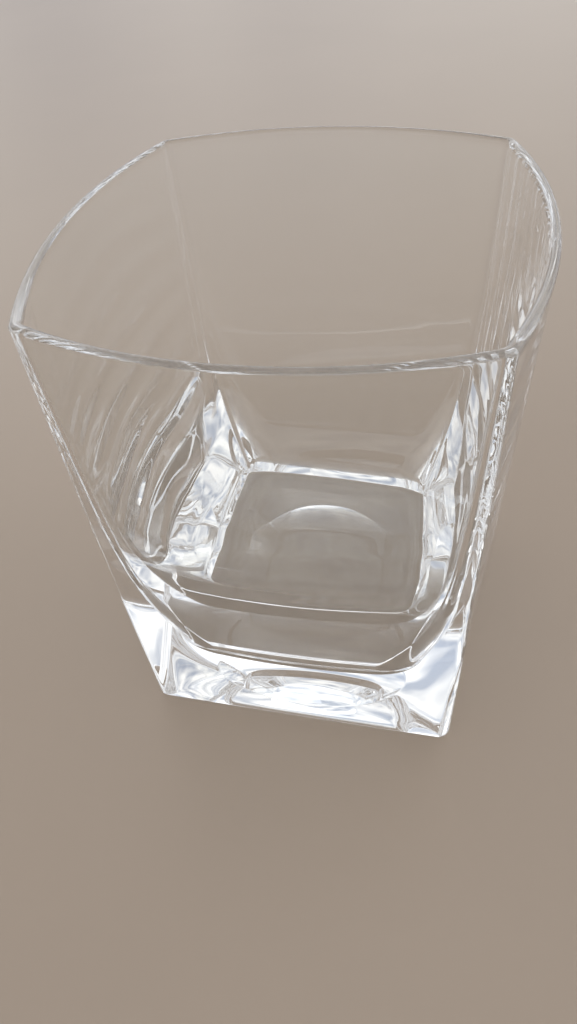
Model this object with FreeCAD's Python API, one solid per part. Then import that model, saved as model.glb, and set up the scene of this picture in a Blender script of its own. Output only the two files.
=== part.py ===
"""Square whiskey tumbler pressed in one piece of clear glass.

Origin: centre of the foot, on the surface the glass stands on. +Z runs up to the rim.
The sides face +X, -X, +Y and -Y. All lengths are in millimetres.

Every outline is a bowed square. Its half width runs from the centre line to the line through
two corners, and its bow is how far each side curves out past that line.
"""
import FreeCAD, Part
import math
import os

# Outer body: height, half width, bow and corner radius from the foot up to the rim
HEIGHT = 95.0
OUTER_SECTIONS = (
    (0.0, 31.9, 0.05, 2.4),
    (20.0, 31.8, 2.1, 2.4),
    (50.0, 31.7, 4.3, 2.3),
    (HEIGHT, 31.5, 6.2, 2.2),
)
FOOT_EDGE_R = 1.2
WALL = 1.4              # glass thickness at the rim
RIM_EDGE_R = 0.65

# Drinking space. The flat floor meets the bowl edge in a soft crease, and the bowl edge
# turns up into walls that steepen and thin towards the rim.
FLOOR_Z = 17.0
FLOOR_CORNER_R = 6.0
BOWL_R = 4.0
BOWL_START = 12.0       # degrees that the bowl edge leans up from the floor at the crease
BOWL_END = 80.0         # and where it meets the foot of the wall
BOWL_STEPS = 4
BOWL_HALF = 22.9        # half width, bow and corner radius at the foot of the wall
BOWL_BOW = 1.0
BOWL_CORNER_R = 8.5
INNER_SECTIONS = (      # height, half width, bow and corner radius up the inner wall
    (36.0, 27.1, 2.4, 7.0),
    (48.0, 28.6, 3.6, 4.8),
    (64.0, 29.4, 4.6, 3.0),
    (80.0, 29.8, 5.5, 2.2),
)

# Recess pressed into the underside
PUNT_R = 20.0
PUNT_DEPTH = 3.0

NODE = "tumbler_glass"


def around(points_on_side):
    """Repeat the (x, y) points of the +Y side on all four sides, clockwise."""
    turned = []
    side = points_on_side
    for _ in range(4):
        turned.append(side)
        side = [(y, -x) for x, y in side]
    return turned


def bowed_square(z, half, bow, corner_r):
    """Closed outline: four outward arcs joined by tangent corner arcs."""
    side_r = (half**2 + bow**2) / (2 * bow)
    side_centre = half + bow - side_r
    corner = (side_centre + math.sqrt(2 * (side_r - corner_r)**2 - side_centre**2)) / 2
    lean = math.atan2(corner, corner - side_centre)
    end_x = side_r * math.sin(lean)
    end_y = side_centre + side_r * math.cos(lean)
    nose = corner + corner_r * math.sqrt(0.5)
    sides = around([(-end_x, end_y), (0.0, half + bow), (end_x, end_y), (nose, nose)])
    edges = []
    for index, side in enumerate(sides):
        start, middle, end, tip = [FreeCAD.Vector(x, y, z) for x, y in side]
        following = FreeCAD.Vector(*sides[(index + 1) % 4][0], z)
        edges.append(Part.Arc(start, middle, end).toShape())
        edges.append(Part.Arc(end, tip, following).toShape())
    return Part.Wire(edges)


def loft(sections):
    """Smooth solid through outlines given as (height, half width, bow, corner radius)."""
    return Part.makeLoft([bowed_square(*section) for section in sections], True, False)


def edges_at(shape, z):
    """Edges that lie in the horizontal plane at height z."""
    tolerance = 1e-4
    return [e for e in shape.Edges if max(abs(e.BoundBox.ZMin - z), abs(e.BoundBox.ZMax - z)) < tolerance]


def outer_body():
    """Solid block from the flat-sided foot to the bowed rim, with its foot edge rounded."""
    block = loft(OUTER_SECTIONS)
    return block.makeFillet(FOOT_EDGE_R, edges_at(block, 0.0))


def bowl_sections():
    """Outlines up the round turn from the flat floor to the foot of the wall."""
    start = math.radians(BOWL_START)
    end = math.radians(BOWL_END)
    sections = []
    for step in range(BOWL_STEPS + 1):
        part_way = step / BOWL_STEPS
        turn = start + (end - start) * part_way
        z = FLOOR_Z + BOWL_R * (math.cos(start) - math.cos(turn))
        half = BOWL_HALF - BOWL_R * (math.sin(end) - math.sin(turn))
        corner_r = FLOOR_CORNER_R + (BOWL_CORNER_R - FLOOR_CORNER_R) * part_way
        sections.append((z, half, BOWL_BOW, corner_r))
    return sections


def wall_sections():
    """Outlines of the inner wall from the bowl edge to the rim."""
    _, rim_half, rim_bow, rim_corner_r = OUTER_SECTIONS[-1]
    rim = (HEIGHT, rim_half - WALL, rim_bow, rim_corner_r - WALL / 2)
    return [bowl_sections()[-1], *INNER_SECTIONS, rim]


def punt():
    """Shallow dome pressed up into the underside."""
    dome_r = (PUNT_R**2 + PUNT_DEPTH**2) / (2 * PUNT_DEPTH)
    return Part.makeSphere(dome_r, FreeCAD.Vector(0, 0, PUNT_DEPTH - dome_r))


def tumbler():
    """Glass body with its drinking space, punt and fire-polished rim."""
    glass = outer_body().cut(loft(wall_sections())).cut(loft(bowl_sections())).cut(punt())
    return glass.makeFillet(RIM_EDGE_R, edges_at(glass, HEIGHT))


os.makedirs("parts", exist_ok=True)
tumbler().exportStep("parts/" + NODE + ".step")
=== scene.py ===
"""Square whiskey tumbler in clear pressed glass, on a plain floor in soft daylight.

Lengths are in millimetres, or in metres where a name ends in _M. Angles are in radians, or in degrees
where a name ends in _DEG.
"""
import math

import bmesh
import bpy
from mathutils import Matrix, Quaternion, Vector, noise


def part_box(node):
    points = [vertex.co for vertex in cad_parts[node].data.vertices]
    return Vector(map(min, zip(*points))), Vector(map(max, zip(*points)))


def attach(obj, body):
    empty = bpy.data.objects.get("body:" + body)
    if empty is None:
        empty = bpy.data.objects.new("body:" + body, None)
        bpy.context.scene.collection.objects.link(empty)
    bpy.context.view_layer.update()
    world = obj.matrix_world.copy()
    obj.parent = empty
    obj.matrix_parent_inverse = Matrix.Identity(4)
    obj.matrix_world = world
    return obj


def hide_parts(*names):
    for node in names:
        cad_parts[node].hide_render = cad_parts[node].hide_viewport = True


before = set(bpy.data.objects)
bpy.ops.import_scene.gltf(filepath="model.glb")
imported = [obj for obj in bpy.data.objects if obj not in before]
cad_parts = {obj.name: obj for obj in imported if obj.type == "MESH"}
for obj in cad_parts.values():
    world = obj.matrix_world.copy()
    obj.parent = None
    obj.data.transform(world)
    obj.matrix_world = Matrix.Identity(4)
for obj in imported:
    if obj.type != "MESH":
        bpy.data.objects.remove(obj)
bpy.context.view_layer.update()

MM = 0.001
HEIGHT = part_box("tumbler_glass")[1].z / MM

# Outer body: height, half width, bow and corner radius from the flat-sided foot up to the bowed rim
OUTER_WALL = (
    (0.0, 31.9, 0.05, 2.4),
    (20.0, 31.8, 2.1, 2.4),
    (50.0, 31.7, 4.3, 2.3),
    (95.0, 31.5, 6.2, 2.2),
)
FOOT_EDGE_R = 1.2
WALL = 1.4

# Drinking space: flat floor, round bowl edge, then height, half width, bow and corner radius up the wall
FLOOR_Z = 17.0
FLOOR_CORNER_R = 6.0
BOWL_R = 4.0
BOWL_START = math.radians(12)
BOWL_TURN = math.radians(80)
INNER_WALL = (
    (20.22, 22.9, 1.0, 8.5),
    (36.0, 27.1, 2.4, 7.0),
    (48.0, 28.6, 3.6, 4.8),
    (64.0, 29.4, 4.6, 3.0),
    (80.0, 29.8, 5.5, 2.2),
    (95.0, 30.1, 6.2, 1.5),
)

# Dome pressed up into the underside
PUNT_R = 20.0
PUNT_DEPTH = 3.0

# Mould rings on the inner wall. Ring number n lies near height RING_PITCH * n**(1 / RING_CROWD), so the
# rings crowd together up the wall. On the left and right sides they reach higher towards the front.
RING_PITCH = 19.5
RING_CROWD = 1.5
RING_DEPTH = (0.03, 0.15, 0.02, 0.46)       # back, right, front and left sides
RING_STRENGTH = (0.7, 0.9)                  # mean, and how much it varies along the wall
RING_WANDER = 0.30                          # shift along the wall, in rings
RING_SAG = 0.22                             # rings lower at the corners than mid side, in rings
RING_OVERTONE = (0.12, 2.3)                 # share of finer rings, and how much finer
RING_TOP = 62.0
RING_RISE = 16.0
RING_TAIL = (0.10, 4.0)                     # share left above the top, and how softly it drops to that
RING_FLOOR_FADE = (6.0, 13.0)               # gap above the floor, and the height of the fade
RING_RIM_FADE = (2.0, 10.0)                 # gap below the rim, and the height of the fade

# Fine waves across the inner wall and faint unevenness of the outer faces
ACROSS_DEPTH = 0.008
SKIN_DEPTH = 0.02
SKIN_FOOT_FADE = (3.0, 6.0)
SKIN_RIM_FADE = (3.0, 6.0)
CORNER_CALM = 6                             # the higher, the closer to the corner all waves fade

# Noise: waves from mid side to corner, lean per mm, height of a wave, first seed, seed step between sides
WANDER_NOISE = (1.3, 0.0, 30.0, 5.3, 11)
STRENGTH_NOISE = (1.1, 0.0, 14.0, 2.2, 7)
ACROSS_NOISE = (31 / 3.2, 1 / 90, 45.0, 9.1, 7)
SKIN_NOISE = (31 / 11, 0.0, 16.0, 41.3, 5)

# Mesh density
SIDE_STEPS = 56
CORNER_STEPS = 16
PUNT_RINGS = 40
FOOT_EDGE_RINGS = 10
FOOT_EDGE_START = -0.1                      # puts the first ring a little up the foot edge
OUTSIDE_RINGS = 110
RIM_RINGS = 16
INSIDE_RINGS = 130
BOWL_RINGS = 20
FLOOR_RINGS = 20
LEAST_BOW = 0.02                            # keeps a nearly flat side an arc
ROUND_GUIDE = (20.0, 6.0, 6.0)              # bowed square whose headings the round rings share

# Glass and floor
GLASS_TINT = (0.985, 0.993, 0.992, 1)
GLASS_IOR = 1.51
GLASS_SHADOW = (0.93, 0.94, 0.94, 1)
GLASS_BOUNCES = 64
FLOOR_TONES = ((0.350, 0.272, 0.205, 1), (0.388, 0.303, 0.231, 1))
FLOOR_MOTTLE = 9.0
FLOOR_MOTTLE_DETAIL = 3.0
FLOOR_ROUGHNESS = 0.36
FLOOR_REACH_M = 3.0
FLOOR_DROP = 0.05

# Room light from the camera side to the far side, its cool and warm patches, and the window
ROOM_FRONT = (0.88, 0.89, 0.92, 1)
ROOM_BACK = (1.27, 1.30, 1.35, 1)
PATCHES = 5.0
PATCH_DETAIL = 1.5
PATCH_EDGES = (0.35, 0.65)
PATCH_TINTS = ((0.50, 0.55, 0.64, 1), (1.34, 1.31, 1.24, 1))
WINDOW_M = (-0.45, 0.95, 0.70)
WINDOW_SIZE_M = (0.9, 0.7)
WINDOW_WATTS = 0.9

# Camera: where it looks, from which side, how far away and through which lens
TARGET = (-1.59, -15.63, 47.5)
AZIMUTH_DEG = 16.7
ELEVATION_DEG = 46.74
ROLL_DEG = -6.62
DISTANCE = 130.1
LENS = 25.0
CLIP_START_M = 0.005


def outline(half, bow, corner_r):
    """Points of a bowed square as (x, y, heading, side, place along the side from -1 to 1).

    The heading is the outward direction, clockwise from +Y. A corner counts as the end of its side.
    """
    bow = max(bow, LEAST_BOW)
    side_r = (half**2 + bow**2) / (2 * bow)
    side_centre = half + bow - side_r
    corner = (side_centre + math.sqrt(2 * (side_r - corner_r)**2 - side_centre**2)) / 2
    lean = math.atan2(corner, corner - side_centre)
    points = []
    for side in range(4):
        turned = math.cos(side * math.pi / 2), math.sin(side * math.pi / 2)
        for step in range(SIDE_STEPS + CORNER_STEPS):
            if step < SIDE_STEPS:
                t = lean * (2 * step / SIDE_STEPS - 1)
                x, y = side_r * math.sin(t), side_centre + side_r * math.cos(t)
                place = t / lean
            else:
                share = (step - SIDE_STEPS) / CORNER_STEPS
                t = lean + (math.pi / 2 - 2 * lean) * share
                x, y = corner + corner_r * math.sin(t), corner + corner_r * math.cos(t)
                place = 1.0
            points.append((x * turned[0] + y * turned[1], y * turned[0] - x * turned[1],
                           t + side * math.pi / 2, side, place))
    return points


def wave(side, place, z, kind):
    """Smooth noise from -1 to 1."""
    across, lean, height, seed, seed_step = kind
    return noise.noise(Vector((place * across + z * lean, z / height, seed + seed_step * side)))


def ease(distance, fade):
    """0 up to the gap, then rising evenly to 1 over the span. fade is (gap, span)."""
    gap, span = fade
    return min(max((distance - gap) / span, 0), 1)


def calm(place):
    """1 along a side, falling to 0 at its corners."""
    return 1 - abs(place)**CORNER_CALM


def chill_ripple(side, place, z):
    """Wavy rings left on the inner wall by the mould, in mm outwards."""
    fade = ease(z - FLOOR_Z, RING_FLOOR_FADE) * ease(HEIGHT - z, RING_RIM_FADE) * calm(place)
    shift = RING_WANDER * wave(side, place, z, WANDER_NOISE) + RING_SAG * place**2
    mean, variation = RING_STRENGTH
    strength = mean + variation * wave(side, place, z, STRENGTH_NOISE)
    turn = 2 * math.pi * ((z / RING_PITCH)**RING_CROWD + shift)
    share, finer = RING_OVERTONE
    towards_front = (0, place, 0, -place)[side]
    top = RING_TOP + RING_RISE * towards_front
    faint, softness = RING_TAIL
    tail = faint + (1 - faint) / (1 + math.exp((z - top) / softness))
    rings = (math.sin(turn) + share * math.sin(finer * turn)) * tail
    across = ACROSS_DEPTH * wave(side, place, z, ACROSS_NOISE)
    return fade * (RING_DEPTH[side] * strength * rings + across)


def skin_wave(side, place, z):
    """Faint unevenness of the outer faces, in mm outwards."""
    fade = ease(z, SKIN_FOOT_FADE) * ease(HEIGHT - z, SKIN_RIM_FADE) * calm(place)
    return SKIN_DEPTH * fade * wave(side, place, z, SKIN_NOISE)


def smooth_row(rows, z):
    """Half width, bow and corner radius at height z, along smooth curves through the rows."""
    heights = [row[0] for row in rows]
    last = len(rows) - 1
    i = max(k for k in range(last) if heights[k] <= z or k == 0)
    span = heights[i + 1] - heights[i]
    t = (z - heights[i]) / span
    found = []
    for column in (1, 2, 3):
        values = [row[column] for row in rows]
        slopes = [(values[k + 1] - values[k]) / (heights[k + 1] - heights[k]) for k in range(last)]
        here = slopes[0] if i == 0 else (slopes[i - 1] + slopes[i]) / 2
        there = slopes[-1] if i + 1 == last else (slopes[i] + slopes[i + 1]) / 2
        found.append((2 * t**3 - 3 * t**2 + 1) * values[i] + (t**3 - 2 * t**2 + t) * span * here
                     + (3 * t**2 - 2 * t**3) * values[i + 1] + (t**3 - t**2) * span * there)
    return found


class Shell:
    """Closed mesh of rings with equal numbers of points, from mid underside round to mid floor."""

    def __init__(self):
        self.mesh = bmesh.new()
        self.rings = []

    def ring(self, z, half, bow, corner_r, relief=None):
        """Add one outline. relief(side, place, z) is how far each point moves outwards."""
        ring = []
        for x, y, heading, side, place in outline(half, bow, corner_r):
            out = relief(side, place, z) if relief else 0.0
            spot = Vector((x + out * math.sin(heading), y + out * math.cos(heading), z))
            ring.append(self.mesh.verts.new(spot * MM))
        self.rings.append(ring)

    def circle(self, z, radius):
        """Add one round ring."""
        ring = []
        for _, _, heading, _, _ in outline(*ROUND_GUIDE):
            spot = Vector((radius * math.sin(heading), radius * math.cos(heading), z))
            ring.append(self.mesh.verts.new(spot * MM))
        self.rings.append(ring)

    def finish(self, name, z_first, z_last):
        """Skin the rings, cap both ends and return the object."""
        for lower, upper in zip(self.rings, self.rings[1:]):
            for a, b, c, d in zip(lower, lower[1:] + lower[:1], upper[1:] + upper[:1], upper):
                self.mesh.faces.new((a, b, c, d))
        for ring, z in ((self.rings[0], z_first), (self.rings[-1], z_last)):
            centre = self.mesh.verts.new(Vector((0, 0, z * MM)))
            for a, b in zip(ring, ring[1:] + ring[:1]):
                self.mesh.faces.new((centre, a, b))
        bmesh.ops.recalc_face_normals(self.mesh, faces=self.mesh.faces)
        for face in self.mesh.faces:
            face.smooth = True
        return add_object(name, self.mesh)


def add_object(name, mesh):
    """Turn a bmesh into an object in the scene."""
    data = bpy.data.meshes.new(name)
    mesh.to_mesh(data)
    mesh.free()
    thing = bpy.data.objects.new(name, data)
    bpy.context.scene.collection.objects.link(thing)
    return thing


def steps(first, last, count):
    """Evenly spaced numbers after first, up to and including last."""
    return [first + (last - first) * k / count for k in range(1, count + 1)]


def underside(shell):
    """Punt dome, which ends at the flat that the glass stands on."""
    dome_r = (PUNT_R**2 + PUNT_DEPTH**2) / (2 * PUNT_DEPTH)
    for radius in steps(0, PUNT_R, PUNT_RINGS):
        shell.circle(math.sqrt(dome_r**2 - radius**2) - dome_r + PUNT_DEPTH, radius)


def outside(shell):
    """Rounded foot edge and the outer faces."""
    for turn in steps(FOOT_EDGE_START, math.pi / 2, FOOT_EDGE_RINGS):
        z = FOOT_EDGE_R * (1 - math.cos(turn))
        inset = FOOT_EDGE_R * (1 - math.sin(turn))
        half, bow, corner_r = smooth_row(OUTER_WALL, z)
        shell.ring(z, half - inset, bow, corner_r - inset)
    for z in steps(FOOT_EDGE_R, HEIGHT - WALL / 2, OUTSIDE_RINGS):
        shell.ring(z, *smooth_row(OUTER_WALL, z), skin_wave)


def rim(shell):
    """Fire-polished rim: a half round over the wall."""
    _, half, bow, corner_r = OUTER_WALL[-1]
    for turn in steps(0, math.pi, RIM_RINGS)[:-1]:
        inset = WALL / 2 * (1 - math.cos(turn))
        z = HEIGHT - WALL / 2 + WALL / 2 * math.sin(turn)
        shell.ring(z, half - inset, bow, corner_r - inset / 2)


def inside(shell):
    """Inner walls from the rim down, the bowl edge and the floor."""
    foot_of_wall, half, bow, corner_r = INNER_WALL[0]
    for z in steps(HEIGHT - WALL / 2, foot_of_wall, INSIDE_RINGS):
        shell.ring(z, *smooth_row(INNER_WALL, z), chill_ripple)
    for share in steps(1, 0, BOWL_RINGS):
        turn = BOWL_START + (BOWL_TURN - BOWL_START) * share
        inset = BOWL_R * (math.sin(BOWL_TURN) - math.sin(turn))
        z = FLOOR_Z + BOWL_R * (math.cos(BOWL_START) - math.cos(turn))
        shell.ring(z, half - inset, bow, FLOOR_CORNER_R + (corner_r - FLOOR_CORNER_R) * share)
    edge = half - BOWL_R * (math.sin(BOWL_TURN) - math.sin(BOWL_START))
    for share in steps(1, 0, FLOOR_RINGS)[:-1]:
        shell.ring(FLOOR_Z, edge * share, bow * share, FLOOR_CORNER_R * share)


def tumbler():
    """The glass body as one closed mesh."""
    shell = Shell()
    underside(shell)
    outside(shell)
    rim(shell)
    inside(shell)
    return shell.finish("tumbler_body", PUNT_DEPTH, FLOOR_Z)


def node_material(name):
    """New material, with its nodes, links and main shader."""
    material = bpy.data.materials.new(name)
    material.use_nodes = True
    tree = material.node_tree
    return material, tree.nodes, tree.links, tree.nodes["Principled BSDF"]


def glass_material():
    """Clear soda-lime glass. Lamps shine through it, so the floor behind it is lit."""
    material, nodes, links, shader = node_material("clear_glass")
    shader.inputs["Base Color"].default_value = GLASS_TINT
    shader.inputs["Transmission Weight"].default_value = 1.0
    shader.inputs["IOR"].default_value = GLASS_IOR
    shader.inputs["Roughness"].default_value = 0.0
    clear = nodes.new("ShaderNodeBsdfTransparent")
    clear.inputs["Color"].default_value = GLASS_SHADOW
    path = nodes.new("ShaderNodeLightPath")
    mix = nodes.new("ShaderNodeMixShader")
    links.new(path.outputs["Is Shadow Ray"], mix.inputs["Fac"])
    links.new(shader.outputs["BSDF"], mix.inputs[1])
    links.new(clear.outputs["BSDF"], mix.inputs[2])
    links.new(mix.outputs["Shader"], nodes["Material Output"].inputs["Surface"])
    return material


def floor_material():
    """Matt warm grey board with a soft sheen and a faint mottle."""
    material, nodes, links, shader = node_material("plain_floor")
    place = nodes.new("ShaderNodeTexCoord")
    mottle = nodes.new("ShaderNodeTexNoise")
    mottle.inputs["Scale"].default_value = FLOOR_MOTTLE
    mottle.inputs["Detail"].default_value = FLOOR_MOTTLE_DETAIL
    tone = nodes.new("ShaderNodeValToRGB")
    for stop, colour in zip(tone.color_ramp.elements, FLOOR_TONES):
        stop.color = colour
    links.new(place.outputs["Object"], mottle.inputs["Vector"])
    links.new(mottle.outputs["Fac"], tone.inputs["Fac"])
    links.new(tone.outputs["Color"], shader.inputs["Base Color"])
    shader.inputs["Roughness"].default_value = FLOOR_ROUGHNESS
    return material


def floor():
    """Large plain floor that the glass stands on."""
    mesh = bmesh.new()
    bmesh.ops.create_grid(mesh, x_segments=8, y_segments=8, size=FLOOR_REACH_M)
    thing = add_object("floor", mesh)
    thing.location.z = -FLOOR_DROP * MM
    thing.data.materials.append(floor_material())


def window():
    """Large soft lamp behind the glass, aimed at it."""
    data = bpy.data.lights.new("window", "AREA")
    data.shape = "RECTANGLE"
    data.size, data.size_y = WINDOW_SIZE_M
    data.energy = WINDOW_WATTS
    lamp = bpy.data.objects.new("window", data)
    lamp.location = WINDOW_M
    aim = Vector((0, 0, HEIGHT * MM / 2)) - lamp.location
    lamp.rotation_euler = aim.to_track_quat("-Z", "Y").to_euler()
    bpy.context.scene.collection.objects.link(lamp)


def room():
    """Pale room, brighter behind the glass than behind the camera.

    The glass and the floor pick up its soft cool and warm patches. Seen directly, it is plain.
    """
    world = bpy.data.worlds.new("room")
    bpy.context.scene.world = world
    world.use_nodes = True
    nodes, links = world.node_tree.nodes, world.node_tree.links
    way = nodes.new("ShaderNodeTexCoord")
    split = nodes.new("ShaderNodeSeparateXYZ")
    ramp = nodes.new("ShaderNodeValToRGB")
    for stop, colour in zip(ramp.color_ramp.elements, (ROOM_FRONT, ROOM_BACK)):
        stop.color = colour
    patches = nodes.new("ShaderNodeTexNoise")
    patches.inputs["Scale"].default_value = PATCHES
    patches.inputs["Detail"].default_value = PATCH_DETAIL
    tint = nodes.new("ShaderNodeValToRGB")
    for stop, edge, colour in zip(tint.color_ramp.elements, PATCH_EDGES, PATCH_TINTS):
        stop.position = edge
        stop.color = colour
    path = nodes.new("ShaderNodeLightPath")
    indirect = nodes.new("ShaderNodeMath")
    indirect.operation = "SUBTRACT"
    indirect.inputs[0].default_value = 1.0
    blend = nodes.new("ShaderNodeMix")
    blend.data_type = "RGBA"
    blend.blend_type = "MULTIPLY"
    links.new(way.outputs["Generated"], split.inputs["Vector"])
    links.new(split.outputs["Y"], ramp.inputs["Fac"])
    links.new(way.outputs["Generated"], patches.inputs["Vector"])
    links.new(patches.outputs["Fac"], tint.inputs["Fac"])
    links.new(path.outputs["Is Camera Ray"], indirect.inputs[1])
    links.new(indirect.outputs["Value"], blend.inputs["Factor"])
    links.new(ramp.outputs["Color"], blend.inputs["A"])
    links.new(tint.outputs["Color"], blend.inputs["B"])
    links.new(blend.outputs["Result"], nodes["Background"].inputs["Color"])


def camera():
    """Wide lens close above the glass, as the glass was seen."""
    azimuth, elevation = math.radians(AZIMUTH_DEG), math.radians(ELEVATION_DEG)
    back = Vector((math.sin(azimuth) * math.cos(elevation),
                   -math.cos(azimuth) * math.cos(elevation),
                   math.sin(elevation)))
    data = bpy.data.cameras.new("camera")
    data.lens = LENS
    data.clip_start = CLIP_START_M
    eye = bpy.data.objects.new("camera", data)
    eye.location = (Vector(TARGET) + back * DISTANCE) * MM
    level = (-back).to_track_quat("-Z", "Y")
    eye.rotation_euler = (level @ Quaternion((0, 0, 1), math.radians(ROLL_DEG))).to_euler()
    bpy.context.scene.collection.objects.link(eye)
    bpy.context.scene.camera = eye


body = tumbler()
body.data.materials.append(glass_material())
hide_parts("tumbler_glass")
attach(body, "root")
floor()
room()
window()
camera()

# Light runs through many turns inside the walls and the base before it leaves the glass
scene = bpy.context.scene
scene.view_settings.view_transform = "Standard"
scene.cycles.max_bounces = GLASS_BOUNCES
scene.cycles.transmission_bounces = GLASS_BOUNCES
scene.cycles.glossy_bounces = GLASS_BOUNCES
